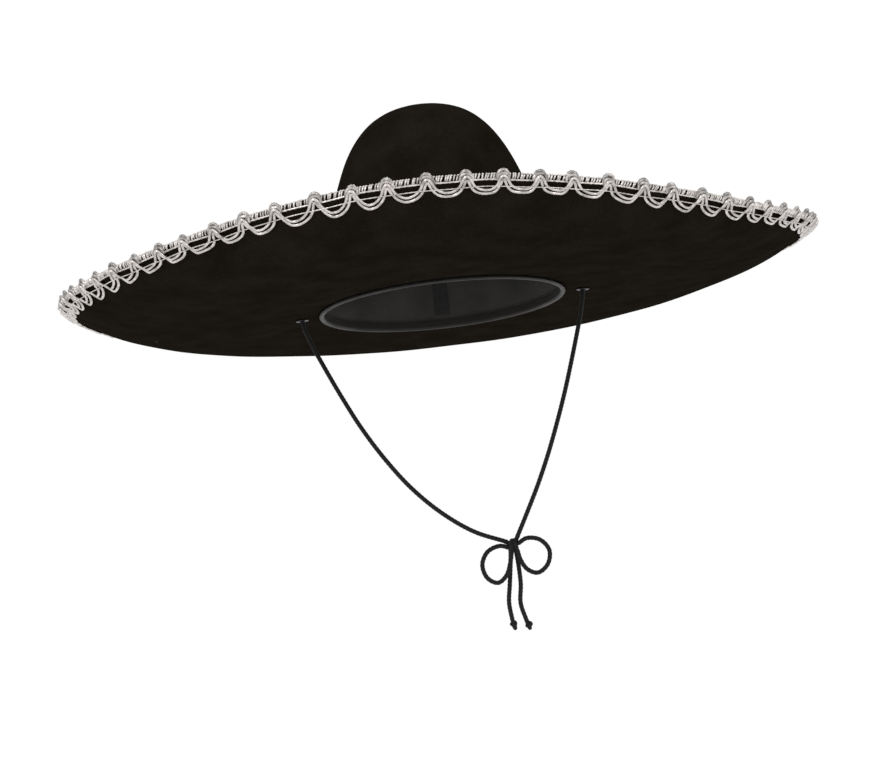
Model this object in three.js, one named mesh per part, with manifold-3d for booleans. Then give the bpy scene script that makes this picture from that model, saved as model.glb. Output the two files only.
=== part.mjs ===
// A wide-brimmed felt sombrero with a silver scroll braid round its rim and a lace chin cord.
// Millimetres. The origin is the centre of the head opening, +Z runs up the crown's axis,
// and the front of the hat faces -Y.
import * as THREE from "three";
import { mergeVertices } from "three/addons/utils/BufferGeometryUtils.js";
import Module from "manifold-3d";

const wasm = await Module();
wasm.setup();

// ---- Driving dimensions ----
const HEAD_HALF_WIDTH = 84; // inside the sweatband: a head of 58 cm round
const OVAL = 1.2; // length over width of the head opening and of the whole crown
const CROWN_HALF_WIDTH = 90; // outside the felt, at the crown's foot
const CROWN_HEIGHT = 139;
const CROWN_FELT = 2;
const CROWN_FOOT = 2.7; // height of the crown's lower edge, just above the brim
const LINING_INSET = 3.9; // lining's outer face, measured in from the outside of the felt
const LINING = 0.5;

const OPENING_HALF_WIDTH = 85.6; // inner edge of the brim
const RIM_RADIUS = 265; // felt edge of the brim
const RIM_RISE = 23.4; // mean height of the rim above the opening
const RISE_POWER = 6.1; // the brim is nearly flat and turns up towards its edge
const BRIM_DIP = 3; // how far the brim sinks between the opening and the rim
// Set that the felt has taken, as waves round the rim: count, cosine part and sine part
const WAVES = [[2, -2.6, 2.4], [3, 0.8, 5], [4, 2.2, 0.7]];
const FELT_LAYERS = { upper: [1.3, 2.4], board: [-1, 1], under: [-2.4, -1.3] };
const BOARD_INSET = 6; // the board stops this far inside the felt edge
const PINCH = 0.7; // past the board, the braid draws the stack down to this share at its edge

const SCALLOPS = 70; // round the rim
const BRIM_COLUMNS = SCALLOPS;
const CROWN_SCALLOPS = 26;
const CROWN_COLUMNS = 2 * CROWN_SCALLOPS;
const GAP = 0.3; // clearance between pieces that touch
// Rim braid, measured in from the felt edge; stand is down from the felt
const SCALLOP_BRAID = { edge: 0.5, bend: 4, crest: 6, valley: 12.3, stand: 0.6, thickness: 1.2 };
const HEADING_THREAD = { inset: 1.2, size: 1 };
const CROSS_THREAD = { inset: 5.4, size: 0.8 };
const THREAD_STAND = 2.3;
const LADDER = { reach: 1.6, lap: 0.3 }; // beyond the felt edge, and over each face
const PICOTS = { width: 0.8, arch: 1.6, thickness: 1.6 };
const CROWN_BRAID = { stand: 2.6, thickness: 1.2, low: 8, high: 15, rise: 5.3 };

const WIRE_DIAMETER = 0.8;
const WIRE_INSET = 4; // from the felt edge to the middle of the wire
const WIRE_JOINT = 4; // the wire's ends stop this far apart inside the ferrule
const FERRULE = { length: 16, outer: 0.72, bore: 0.6 };

const SWEATBAND = { thickness: 1.2, low: -3.5, high: 32 };
const HAT_BAND = { thickness: 0.8, low: 3.2, high: 28 };
const SWEATBAND_SEAM = 1; // gap between the strip's ends, at the back
const REED = { thickness: 1.6, inset: -0.2 };
const SEAM_TAPE = { width: 12, low: 4, height: 24, thickness: 0.5, clearance: 0.85 };

const CORD_DIAMETER = 3;
const EYELET_X = 100; // the chin cord's eyelets sit either side of the crown
const EYELET = { bore: 2.1, barrel: 2.8, flange: 4.6, reach: 3.9, lip: 0.8 };
const EYELET_HOLE = 3.2; // radius of the hole through the felt
const STOP_KNOT = { low: -7.2, foot: 3, waist: 4, crown: 3.2, height: 5.6 };

// ---- Shapes ----
// The height of the middle of the brim, where s is 0 at the opening and 1 at the felt edge.
function brimHeight(s, angle) {
  const rise = RIM_RISE * s ** RISE_POWER - BRIM_DIP * Math.sin(Math.PI * s);
  const wave = WAVES.reduce(
    (sum, [count, cosine, sine]) =>
      sum + cosine * Math.cos(count * angle) + sine * Math.sin(count * angle),
    0,
  );
  return rise + wave * s * s;
}

// s at a distance in from the felt edge
const fromEdge = (distance) => 1 - distance / (RIM_RADIUS - OPENING_HALF_WIDTH);

// A point of the brim, lifted above its middle surface. The plan goes from oval to round.
function brimPoint(s, angle, lift) {
  const pinched = THREE.MathUtils.inverseLerp(fromEdge(BOARD_INSET), 1, s);
  const share = THREE.MathUtils.lerp(1, PINCH, THREE.MathUtils.clamp(pinched, 0, 1));
  const across = THREE.MathUtils.lerp(OPENING_HALF_WIDTH, RIM_RADIUS, s);
  const along = THREE.MathUtils.lerp(OPENING_HALF_WIDTH * OVAL, RIM_RADIUS, s);
  return new THREE.Vector3(
    across * Math.cos(angle),
    along * Math.sin(angle),
    brimHeight(s, angle) + lift * share,
  );
}

const ovalPoint = (radius, angle, height) =>
  new THREE.Vector3(radius * Math.cos(angle), OVAL * radius * Math.sin(angle), height);

// Revolves a closed profile, counterclockwise with the radius to the right, and then puts each
// of its points where place(radius, angle, height, column) says. Where the profile runs inwards,
// the two triangles of each quad meet on the other diagonal, so that the two faces of a sheet,
// and the faces of sheets that lie on each other, stay parallel.
function ring(profile, columns, place) {
  const closed = [...profile, profile[0]].map(([r, h]) => new THREE.Vector2(r, h));
  const lathe = new THREE.LatheGeometry(closed, columns);
  const position = lathe.getAttribute("position");
  for (let i = 0; i < position.count; i++) {
    const column = Math.floor(i / closed.length) % columns;
    const { x: radius, y: height } = closed[i % closed.length];
    const point = place(radius, (column / columns) * 2 * Math.PI, height, column);
    position.setXYZ(i, point.x, point.y, point.z);
  }
  const faces = [];
  for (let column = 0; column < columns; column++) {
    for (let j = 0; j < profile.length; j++) {
      const a = column * closed.length + j;
      const b = a + closed.length;
      const inwards = closed[j + 1].x < closed[j].x;
      faces.push(...(inwards ? [a, b, b + 1, a, b + 1, a + 1] : [a, b, a + 1, b + 1, a + 1, b]));
    }
  }
  lathe.setIndex(faces);
  return bare(lathe);
}

// Keeps only merged positions, so that a shape is one closed surface.
function bare(geometry) {
  geometry.deleteAttribute("normal");
  geometry.deleteAttribute("uv");
  return mergeVertices(geometry, 1e-4);
}

function toSolid(geometry) {
  const merged = bare(geometry.clone());
  return new wasm.Manifold(
    new wasm.Mesh({
      numProp: 3,
      vertProperties: new Float32Array(merged.getAttribute("position").array),
      triVerts: new Uint32Array(merged.index.array),
    }),
  );
}

function cut(geometry, tools) {
  let solid = toSolid(geometry);
  for (const tool of tools) solid = solid.subtract(toSolid(tool));
  const { numProp, vertProperties, triVerts } = solid.getMesh();
  const result = new THREE.BufferGeometry();
  result.setAttribute("position", new THREE.BufferAttribute(vertProperties, numProp));
  result.setIndex(new THREE.BufferAttribute(triVerts, 1));
  return result;
}

// A rectangle from (r0, h0) to (r1, h1)
const rectangle = (r0, h0, r1, h1) => [[r0, h0], [r1, h0], [r1, h1], [r0, h1]];

// ---- Brim ----
const BRIM_STATIONS = [0, 0.35, 0.65, 0.82, 0.91, fromEdge(BOARD_INSET), 1];

function brimSheet([low, high], stations) {
  const profile = [
    ...stations.map((s) => [s, low]),
    ...stations.toReversed().map((s) => [s, high]),
  ];
  return ring(profile, BRIM_COLUMNS, brimPoint);
}

// Frames for the two eyelets: at the brim's middle surface, with Z square to the felt.
function eyeletFrame(side) {
  const s = (EYELET_X - OPENING_HALF_WIDTH) / (RIM_RADIUS - OPENING_HALF_WIDTH);
  const angle = side > 0 ? 0 : Math.PI;
  const run = brimPoint(s + 0.02, 0, 0).sub(brimPoint(s, 0, 0));
  const frame = new THREE.Group();
  frame.position.copy(brimPoint(s, angle, 0));
  frame.rotation.y = -side * Math.atan2(run.z, run.x);
  frame.updateMatrixWorld();
  return frame;
}

const eyeletFrames = { right: eyeletFrame(1), left: eyeletFrame(-1) };
const eyeletHoles = Object.values(eyeletFrames).map((frame) =>
  new THREE.CylinderGeometry(EYELET_HOLE, EYELET_HOLE, 20, 12)
    .rotateX(Math.PI / 2)
    .applyMatrix4(frame.matrixWorld),
);

function brimWire() {
  const half = WIRE_DIAMETER / 2;
  const middle = fromEdge(WIRE_INSET);
  const reach = half / (RIM_RADIUS - OPENING_HALF_WIDTH);
  const section = [[middle - reach, 0], [middle, -half], [middle + reach, 0], [middle, half]];
  const loop = ring(section, BRIM_COLUMNS, brimPoint);
  const joint = ferrulePlace();
  const opening = new THREE.BoxGeometry(4, WIRE_JOINT, 4);
  opening.applyMatrix4(joint);
  return cut(loop, [opening]);
}

// The middle of the wire's chord at the back of the hat, with Y along the wire
function ferrulePlace() {
  const step = (2 * Math.PI) / BRIM_COLUMNS;
  const column = Math.floor(BRIM_COLUMNS / 4);
  const s = fromEdge(WIRE_INSET);
  const start = brimPoint(s, column * step, 0);
  const end = brimPoint(s, (column + 1) * step, 0);
  const turn = new THREE.Quaternion().setFromUnitVectors(
    new THREE.Vector3(0, 1, 0),
    end.clone().sub(start).normalize(),
  );
  const one = new THREE.Vector3(1, 1, 1);
  return new THREE.Matrix4().compose(start.add(end).multiplyScalar(0.5), turn, one);
}

function wireFerrule() {
  const { length, outer, bore } = FERRULE;
  const tube = ring(rectangle(bore, -length / 2, outer, length / 2), 12, (r, angle, h) =>
    new THREE.Vector3(r * Math.sin(angle), h, r * Math.cos(angle)),
  );
  return tube.applyMatrix4(ferrulePlace());
}

// ---- Rim braid ----
// A ring on the brim beyond its edge; on every other column its outer side moves out by arch.
function edgeRing(inner, outer, [low, high], arch, columns) {
  const section = rectangle(fromEdge(-inner), low, fromEdge(-outer), high);
  return ring(section, columns, (s, angle, lift, column) => {
    const moves = column % 2 && s === fromEdge(-outer);
    return brimPoint(moves ? fromEdge(-outer - arch) : s, angle, lift);
  });
}

// The two scalloped cords as one band, its inner side in and out once for each scallop
function scallopBraid() {
  const { edge, bend, crest, valley, stand, thickness } = SCALLOP_BRAID;
  const high = FELT_LAYERS.under[0] - stand;
  const low = high - thickness;
  const section = [
    [fromEdge(crest), low], [fromEdge(bend), low], [fromEdge(edge), low],
    [fromEdge(edge), high], [fromEdge(bend), high], [fromEdge(crest), high],
  ];
  return ring(section, 2 * SCALLOPS, (s, angle, lift, column) => {
    const moves = column % 2 && s === fromEdge(crest);
    return brimPoint(moves ? fromEdge(valley) : s, angle, lift);
  });
}

function braidThread({ inset, size }) {
  const high = FELT_LAYERS.under[0] - THREAD_STAND;
  const section = rectangle(fromEdge(inset + size), high - size, fromEdge(inset), high);
  return ring(section, 2 * SCALLOPS, brimPoint);
}

// ---- Crown ----
// The outline of a crown layer, inset from the outside of the felt: one curve, foot to top.
function crownOutline(inset) {
  const curve = new THREE.CubicBezierCurve(
    new THREE.Vector2(CROWN_HALF_WIDTH - inset, CROWN_FOOT),
    new THREE.Vector2(CROWN_HALF_WIDTH - 28 - inset, 105),
    new THREE.Vector2(CROWN_HALF_WIDTH - 37 - inset / 2, CROWN_HEIGHT - inset),
    new THREE.Vector2(0, CROWN_HEIGHT - inset),
  );
  return [0, 0.2, 0.42, 0.62, 0.8, 0.92, 1].map((t) => curve.getPoint(t).toArray());
}

function crownLayer(inset, thickness) {
  const outside = crownOutline(inset);
  const inside = crownOutline(inset + thickness);
  return ring([...outside, ...inside.toReversed()], CROWN_COLUMNS, ovalPoint);
}

// The crown's wall leans in evenly over its lowest third.
const WALL_LEAN = 28 / (105 - CROWN_FOOT);
const wallRadius = (inset, height) =>
  CROWN_HALF_WIDTH - inset - WALL_LEAN * Math.max(0, height - CROWN_FOOT);

function wallStrip(inset, thickness, low, high) {
  const heights = low < CROWN_FOOT ? [low, CROWN_FOOT, high] : [low, high];
  const profile = [
    ...heights.map((h) => [wallRadius(inset, h), h]),
    ...heights.toReversed().map((h) => [wallRadius(inset + thickness, h), h]),
  ];
  return ring(profile, CROWN_COLUMNS, ovalPoint);
}

function crownBraid() {
  const { stand, thickness, low, high, rise } = CROWN_BRAID;
  const profile = [
    [wallRadius(-stand, low), low],
    [wallRadius(-stand, high), high],
    [wallRadius(thickness - stand, high), high],
    [wallRadius(thickness - stand, low), low],
  ];
  return ring(profile, CROWN_COLUMNS, (radius, angle, height, column) => {
    const up = column % 2 && height === high ? rise : 0;
    return ovalPoint(radius - WALL_LEAN * up, angle, height + up);
  });
}

// ---- Sweatband ----
const SWEATBAND_INSET = CROWN_HALF_WIDTH - HEAD_HALF_WIDTH - SWEATBAND.thickness;

function sweatband() {
  const { thickness, low, high } = SWEATBAND;
  const strip = wallStrip(SWEATBAND_INSET, thickness, low, high);
  const seam = new THREE.BoxGeometry(SWEATBAND_SEAM, HEAD_HALF_WIDTH, 3 * high)
    .translate(0, HEAD_HALF_WIDTH * OVAL, 0);
  return cut(strip, [seam]);
}

function sweatbandReed() {
  const inner = HEAD_HALF_WIDTH + REED.inset;
  const high = SWEATBAND.low - GAP;
  const section = rectangle(inner, high - REED.thickness, inner + REED.thickness, high);
  return ring(section, CROWN_COLUMNS, ovalPoint);
}

// A tape inside the sweatband, over its seam at the back, leaning with the wall
function seamTape() {
  const { width, low, height, thickness, clearance } = SEAM_TAPE;
  const middle = low + height / 2;
  const inside = wallRadius(SWEATBAND_INSET + SWEATBAND.thickness, middle) * OVAL;
  return new THREE.BoxGeometry(width, thickness, height)
    .rotateX(Math.atan(WALL_LEAN * OVAL))
    .translate(0, inside - clearance - thickness / 2, middle);
}

// ---- Chin cord ----
// Routes, as points on each piece of cord from its upper end. The two strands hang from the
// eyelets to a bow that lies a little towards the wearer's left.
const CORD_ROUTES = {
  chin_cord_left: [
    [-98.7, 0, -10.8], [-94, 0, -24], [-88.6, 0, -37], [-78, 0, -61], [-66, 0, -85.5],
    [-52, 0, -109], [-36, 0, -131], [-17, 0, -150.5], [4, 0, -166], [25.6, 0, -175.6],
  ],
  chin_cord_right: [
    [98.7, 0, -10.8], [96, 0, -22], [92.3, 0, -34], [85.5, 0, -55], [78.3, 0, -76],
    [70.3, 0, -97], [61.6, 0, -118], [52, 0, -138.5], [42, 0, -157.5], [33.2, 0, -173.6],
  ],
  bow_loop_left: [
    [26, -1.2, -179.4], [20, -2.6, -178.2], [11.5, -3.4, -181.5], [7, -3.4, -190],
    [9.5, -3, -199.5], [16.5, -2.4, -203.6], [23, -1.8, -199], [26.6, -1.6, -190.5],
    [28.4, -1.4, -183.4],
  ],
  bow_loop_right: [
    [34.2, -1, -177.4], [40, -2.4, -174.8], [49, -3.2, -177], [54.6, -3.2, -185],
    [52.4, -3, -194.5], [45, -2.4, -199.6], [38, -2, -196.5], [34, -1.8, -189.5],
    [32.6, -1.2, -182.8],
  ],
  bow_tail_left: [
    [27.8, 2.4, -182.8], [26.6, 3.2, -192], [24.6, 3, -205], [22.6, 3, -218], [23.6, 3, -231],
  ],
  bow_tail_right: [
    [31.6, 2.4, -182.8], [32.2, 3.4, -193], [32.2, 3.4, -206], [30.6, 3, -219], [33.4, 3, -232],
  ],
};
const BOW_KNOT = { middle: [30, 0, -178.6], size: [8, 8.4, 8.4] };
const TAIL_KNOTS = { tail_knot_left: [24.4, 3, -233.9], tail_knot_right: [34.6, 3, -234.9] };
const TAIL_KNOT_SIZE = [5, 5, 5.2];
const STEP_DIAMETERS = 2.6;

function cordTube(points) {
  const route = new THREE.CatmullRomCurve3(points.map((p) => new THREE.Vector3(...p)));
  const section = new THREE.Shape(
    Array.from({ length: 8 }, (_, i) => {
      const angle = (i / 8) * 2 * Math.PI;
      const radius = CORD_DIAMETER / 2;
      return new THREE.Vector2(radius * Math.cos(angle), radius * Math.sin(angle));
    }),
  );
  const steps = Math.round(route.getLength() / (STEP_DIAMETERS * CORD_DIAMETER));
  return new THREE.ExtrudeGeometry(section, { steps, extrudePath: route, bevelEnabled: false });
}

const knot = (size, segments = 8) =>
  bare(new THREE.SphereGeometry(0.5, segments, segments - 2).scale(...size));

// A rolled eyelet: a barrel with a flange on each face of the brim
function eyelet() {
  const { bore, barrel, flange, reach, lip } = EYELET;
  const profile = [
    [bore, -reach], [flange, -reach], [flange, lip - reach], [barrel, lip - reach],
    [barrel, reach - lip], [flange, reach - lip], [flange, reach], [bore, reach],
  ];
  return ring(profile, 12, (r, angle, h) =>
    new THREE.Vector3(r * Math.cos(angle), r * Math.sin(angle), h));
}

// The knot that stops the cord above its eyelet, and the cord down through the bore
function stopKnot() {
  const { low, foot, waist, crown, height } = STOP_KNOT;
  const top = EYELET.reach + GAP;
  const radius = CORD_DIAMETER / 2;
  const profile = [
    [0, low], [radius, low], [radius, top], [foot, top],
    [waist, top + height / 3], [crown, top + 0.8 * height], [0, top + height],
  ].map(([r, h]) => new THREE.Vector2(r, h));
  return bare(new THREE.LatheGeometry(profile, 10)).rotateX(Math.PI / 2);
}

// ---- Materials ----
const finish = (color, roughness, metalness = 0) =>
  new THREE.MeshStandardMaterial({ color, roughness, metalness });
const felt = finish(0x1b1916, 0.95);
const board = finish(0x6f6556, 0.9);
const satin = finish(0x16151a, 0.45);
const silver = finish(0xc9c6c2, 0.3, 0.9);
const steel = finish(0x8d9094, 0.35, 1);
const ribbon = finish(0x141314, 0.7);
const leatherette = finish(0x211d1a, 0.6);
const lace = finish(0x141414, 0.85);
const enamel = finish(0x202022, 0.35, 0.8);
const plastic = finish(0x2a2a2c, 0.5);

// ---- Assembly ----
const sombrero = new THREE.Group();

function add(name, geometry, material, parent = sombrero) {
  const mesh = new THREE.Mesh(geometry, material);
  mesh.name = name;
  parent.add(mesh);
  return mesh;
}

add("crown_felt", crownLayer(0, CROWN_FELT), felt);
add("crown_lining", crownLayer(LINING_INSET, LINING), satin);
add("hat_band", wallStrip(-GAP - HAT_BAND.thickness, HAT_BAND.thickness,
  HAT_BAND.low, HAT_BAND.high), ribbon);
add("crown_braid", crownBraid(), silver);

const boardStations = BRIM_STATIONS.slice(0, -1);
add("brim_upper_felt", cut(brimSheet(FELT_LAYERS.upper, BRIM_STATIONS), eyeletHoles), felt);
add("brim_board", cut(brimSheet(FELT_LAYERS.board, boardStations), eyeletHoles), board);
add("brim_under_felt", cut(brimSheet(FELT_LAYERS.under, BRIM_STATIONS), eyeletHoles), felt);
add("brim_wire", brimWire(), steel);
add("wire_ferrule", wireFerrule(), steel);

const ladderLifts = [FELT_LAYERS.under[0] - LADDER.lap, FELT_LAYERS.upper[1] + LADDER.lap];
const picotFoot = LADDER.reach + GAP;
add("edge_ladder", edgeRing(GAP, LADDER.reach, ladderLifts, 0, BRIM_COLUMNS), silver);
add("picot_edge", edgeRing(picotFoot, picotFoot + PICOTS.width,
  [-PICOTS.thickness / 2, PICOTS.thickness / 2], PICOTS.arch, 2 * SCALLOPS), silver);
add("scallop_braid", scallopBraid(), silver);
add("heading_thread", braidThread(HEADING_THREAD), silver);
add("cross_thread", braidThread(CROSS_THREAD), silver);

add("sweatband", sweatband(), leatherette);
add("sweatband_reed", sweatbandReed(), plastic);
add("sweatband_seam_tape", seamTape(), ribbon);

for (const [side, frame] of Object.entries(eyeletFrames)) {
  sombrero.add(frame);
  add(`eyelet_${side}`, eyelet(), enamel, frame);
  add(`cord_stop_knot_${side}`, stopKnot(), lace, frame);
}

for (const [name, points] of Object.entries(CORD_ROUTES)) add(name, cordTube(points), lace);
add("bow_knot", knot(BOW_KNOT.size, 10), lace).position.set(...BOW_KNOT.middle);
for (const [name, middle] of Object.entries(TAIL_KNOTS))
  add(name, knot(TAIL_KNOT_SIZE), lace).position.set(...middle);

export default sombrero;
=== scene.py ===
import math

import bpy
import numpy as np
from mathutils import Matrix, Vector


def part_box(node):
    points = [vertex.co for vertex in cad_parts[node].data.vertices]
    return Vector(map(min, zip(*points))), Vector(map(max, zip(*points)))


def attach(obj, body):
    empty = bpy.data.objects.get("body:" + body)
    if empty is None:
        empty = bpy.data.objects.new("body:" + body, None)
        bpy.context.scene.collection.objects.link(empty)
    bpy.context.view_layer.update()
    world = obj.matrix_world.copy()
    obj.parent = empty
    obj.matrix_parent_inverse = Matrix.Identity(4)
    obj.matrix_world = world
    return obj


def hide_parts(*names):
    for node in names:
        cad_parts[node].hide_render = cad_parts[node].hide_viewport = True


# Looks for a black felt sombrero with silver scroll braid on its rim and a lace chin cord.
# The shapes below are in millimetres and are made into meshes in metres. The origin is the
# centre of the head opening, +Z is up, and the front of the hat faces -Y.

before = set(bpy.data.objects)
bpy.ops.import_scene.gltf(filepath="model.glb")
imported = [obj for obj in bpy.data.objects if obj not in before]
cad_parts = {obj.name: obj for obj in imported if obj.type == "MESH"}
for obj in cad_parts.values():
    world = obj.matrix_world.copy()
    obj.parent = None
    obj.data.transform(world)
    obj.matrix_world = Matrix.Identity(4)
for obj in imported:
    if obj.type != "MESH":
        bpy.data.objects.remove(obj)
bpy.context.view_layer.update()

MM = 0.001
TAU = 2 * math.pi


def box_mm(node):
    """The two corners of a node's box, in millimetres."""
    low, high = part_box(node)
    return np.array(low) / MM, np.array(high) / MM


# ---- Sizes from the frame ----
RIM_RADIUS = box_mm("brim_upper_felt")[1][0]
CROWN_LOW, CROWN_HIGH = box_mm("crown_felt")
CROWN_HALF_WIDTH = CROWN_HIGH[0]
CROWN_FOOT, CROWN_TOP = CROWN_LOW[2], CROWN_HIGH[2]
OVAL = 1.2
OPENING_HALF_WIDTH = 85.6
BRIM_WIDTH = RIM_RADIUS - OPENING_HALF_WIDTH

# ---- The brim's form, as in the part ----
RIM_RISE, RISE_POWER, BRIM_DIP = 23.4, 6.1, 3
WAVES = ((2, -2.6, 2.4), (3, 0.8, 5), (4, 2.2, 0.7))  # count, cosine part, sine part
HALF_STACK = 2.4  # half the brim's thickness, measured straight up
PINCH = 0.7  # the share of it that is left at the felt edge
BOARD_INSET = 6
WIRE_INSET = 4

# ---- Braid ----
RIM_SCALLOPS = 70
RIM_PHASE = 0.306  # where the first crest sits, in scallops from +X
RIM_LEAN = 0.42  # how far, in scallops, the valleys hang towards the hat's sides
CROWN_SCALLOPS = 26
GIMP_RADIUS = 1.0
GIMP_RIDGES = (3, 1.3, 0.045)
CREST_LIFT = 1.2  # how much further the gimp stands off where it climbs over the heading
THREAD_RIDGES = (2, 3.2, 0.16)
LADDER_PITCH = 1.9
WRAP_SLANT = 2.0  # how far one wrap travels along the braid
EDGE_WRAP_RADIUS = 0.66
CROWN_WRAP_RADIUS = 0.72

# ---- Chin cord ----
CORD_RADIUS = 1.5


# ---- Mesh helpers ----
def grid_faces(rings, sides, closed_rings, first=0):
    """Quads of a grid of rings, each ring closed on itself."""
    i = np.arange(rings if closed_rings else rings - 1)[:, None]
    j = np.arange(sides)[None, :]
    a = i * sides + j
    b = i * sides + (j + 1) % sides
    c = ((i + 1) % rings) * sides + (j + 1) % sides
    d = ((i + 1) % rings) * sides + j
    return first + np.stack([a, b, c, d], -1).reshape(-1, 4)


class Shape:
    """Vertices in millimetres and faces, collected from any number of bodies."""

    def __init__(self):
        self.vertices, self.faces, self.caps, self.count = [], [], [], 0

    def grid(self, points, closed_rings, capped=False):
        rings, sides, _ = points.shape
        self.vertices.append(points.reshape(-1, 3))
        self.faces.append(grid_faces(rings, sides, closed_rings, self.count))
        if capped:
            last = self.count + (rings - 1) * sides
            self.caps.append([self.count + j for j in reversed(range(sides))])
            self.caps.append([last + j for j in range(sides)])
        self.count += rings * sides
        return self

    def build(self, name, material, body="hat"):
        vertices = np.concatenate(self.vertices) * MM
        faces = np.concatenate(self.faces).tolist() + self.caps
        mesh = bpy.data.meshes.new(name)
        mesh.from_pydata(vertices.tolist(), [], faces)
        mesh.shade_smooth()
        piece = bpy.data.objects.new(name, mesh)
        bpy.context.scene.collection.objects.link(piece)
        mesh.materials.append(material)
        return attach(piece, body)


def unit(v):
    """Vectors along the last axis, made one long."""
    return v / np.maximum(np.linalg.norm(v, axis=-1, keepdims=True), 1e-12)


def smooth(x, low, high):
    """0 up to low, 1 from high on, and a smooth step between them."""
    t = np.clip((x - low) / (high - low), 0, 1)
    return t * t * (3 - 2 * t)


def directions(points, closed):
    """The unit tangent at each point."""
    if closed:
        return unit(np.roll(points, -1, 0) - np.roll(points, 1, 0))
    return unit(np.gradient(points, axis=0))


def lengths_along(points):
    """Each point's distance along the line, from 0."""
    steps = np.linalg.norm(np.diff(points, axis=0), axis=1)
    return np.concatenate([[0], np.cumsum(steps)])


ROUND_END = np.radians([80, 55, 28])  # rings of a rounded end


def tube(shape, points, normals, radius, sides=8, closed=False, ridges=None):
    """A round cord along points. ridges is (count, pitch, depth): plies twisted round it or,
    with a negative depth, plaited both ways."""
    along = lengths_along(points)
    if not closed:
        forward = directions(points, False)
        start = [points[0] - forward[0] * radius * math.sin(a) for a in ROUND_END]
        end = [points[-1] + forward[-1] * radius * math.sin(a) for a in ROUND_END[::-1]]
        ends = np.cos(ROUND_END)
        points = np.concatenate([start, points, end])
        normals = np.concatenate([normals[:1]] * 3 + [normals] + [normals[-1:]] * 3)
        along = np.concatenate([[along[0]] * 3, along, [along[-1]] * 3])
        scale = np.concatenate([ends, np.ones(len(points) - 6), ends[::-1]])
        tangents = np.concatenate([[forward[0]] * 3, forward, [forward[-1]] * 3])
    else:
        scale = np.ones(len(points))
        tangents = directions(points, True)
    side = unit(np.cross(tangents, normals))
    up = np.cross(side, tangents)
    around = TAU * np.arange(sides) / sides
    radii = radius * scale[:, None] * np.ones(sides)
    if ridges:
        count, pitch, depth = ridges
        if closed:
            total = along[-1] + np.linalg.norm(points[0] - points[-1])
            pitch = total / round(total / pitch)
        turn = TAU * along[:, None] / pitch
        if depth > 0:
            radii = radii * (1 + depth * np.cos(count * around - turn))
        else:
            plait = np.cos(count * around - turn) * np.cos(count * around + turn)
            radii = radii * (1 - depth * plait)
    across, beside = np.cos(around)[None, :, None], np.sin(around)[None, :, None]
    ring = across * up[:, None] + beside * side[:, None]
    shape.grid(points[:, None] + radii[..., None] * ring, closed, capped=not closed)
    return shape


def revolve(shape, profile, columns, place):
    """Revolves a closed profile of (radius, height) points; place gives each one's point."""
    profile = np.array(profile, float)
    angles = TAU * np.arange(columns) / columns
    points = place(profile[None, :, 0], angles[:, None], profile[None, :, 1])
    shape.grid(points, True)
    return shape


def curve_through(points, spacing):
    """Points spaced evenly on a centripetal Catmull-Rom curve through the given ones."""
    p = np.array(points, float)
    p = np.concatenate([[2 * p[0] - p[1]], p, [2 * p[-1] - p[-2]]])
    knots = np.concatenate([[0], np.cumsum(np.linalg.norm(np.diff(p, axis=0), axis=1) ** 0.5)])
    fine = []
    for i in range(1, len(p) - 2):
        t0, t1, t2, t3 = knots[i - 1:i + 3]
        t = np.linspace(t1, t2, 24, endpoint=False)[:, None]
        a1 = (t1 - t) / (t1 - t0) * p[i - 1] + (t - t0) / (t1 - t0) * p[i]
        a2 = (t2 - t) / (t2 - t1) * p[i] + (t - t1) / (t2 - t1) * p[i + 1]
        a3 = (t3 - t) / (t3 - t2) * p[i + 1] + (t - t2) / (t3 - t2) * p[i + 2]
        b1 = (t2 - t) / (t2 - t0) * a1 + (t - t0) / (t2 - t0) * a2
        b2 = (t3 - t) / (t3 - t1) * a2 + (t - t1) / (t3 - t1) * a3
        fine.append((t2 - t) / (t2 - t1) * b1 + (t - t1) / (t2 - t1) * b2)
    fine = np.concatenate(fine + [p[-2:-1]])
    along = lengths_along(fine)
    even = np.linspace(0, along[-1], max(2, round(along[-1] / spacing) + 1))
    return np.stack([np.interp(even, along, fine[:, k]) for k in range(3)], -1)


# ---- Surfaces that things lie on ----
def brim_height(s, angle):
    """Height of the brim's middle. s runs from 0 at the opening to 1 at the felt edge."""
    rise = RIM_RISE * np.abs(s) ** RISE_POWER - BRIM_DIP * np.sin(np.pi * s)
    wave = sum(c * np.cos(k * angle) + d * np.sin(k * angle) for k, c, d in WAVES)
    return rise + wave * s * s


def pinch(s):
    """The share of its thickness that the stack has left, near the felt edge."""
    return 1 - (1 - PINCH) * np.clip(1 - (1 - s) * BRIM_WIDTH / BOARD_INSET, 0, 1)


def brim_middle(s, angle):
    """A point midway through the brim's thickness."""
    across = OPENING_HALF_WIDTH + s * BRIM_WIDTH
    along = OVAL * OPENING_HALF_WIDTH + s * (RIM_RADIUS - OVAL * OPENING_HALF_WIDTH)
    s, angle = np.broadcast_arrays(s, angle)
    return np.stack([across * np.cos(angle), along * np.sin(angle), brim_height(s, angle)], -1)


def brim_axes(s, angle):
    """Unit vectors on the brim: square to the felt (up), outwards, and along the rim."""
    outwards = unit(brim_middle(s + 1e-4, angle) - brim_middle(s - 1e-4, angle))
    along = unit(brim_middle(s, angle + 1e-4) - brim_middle(s, angle - 1e-4))
    return unit(np.cross(outwards, along)), outwards, along


def soft_noise(angle, s, seed):
    """Slow unevenness of felt, -1 to 1, that closes round the hat."""
    phase = 1.7 * seed
    return (0.45 * np.sin(5 * angle + 6 * s + phase) * np.cos(7 * s - phase)
            + 0.35 * np.sin(11 * angle - 9 * s + 2 * phase)
            + 0.2 * np.sin(19 * angle + 17 * s - phase))


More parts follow.
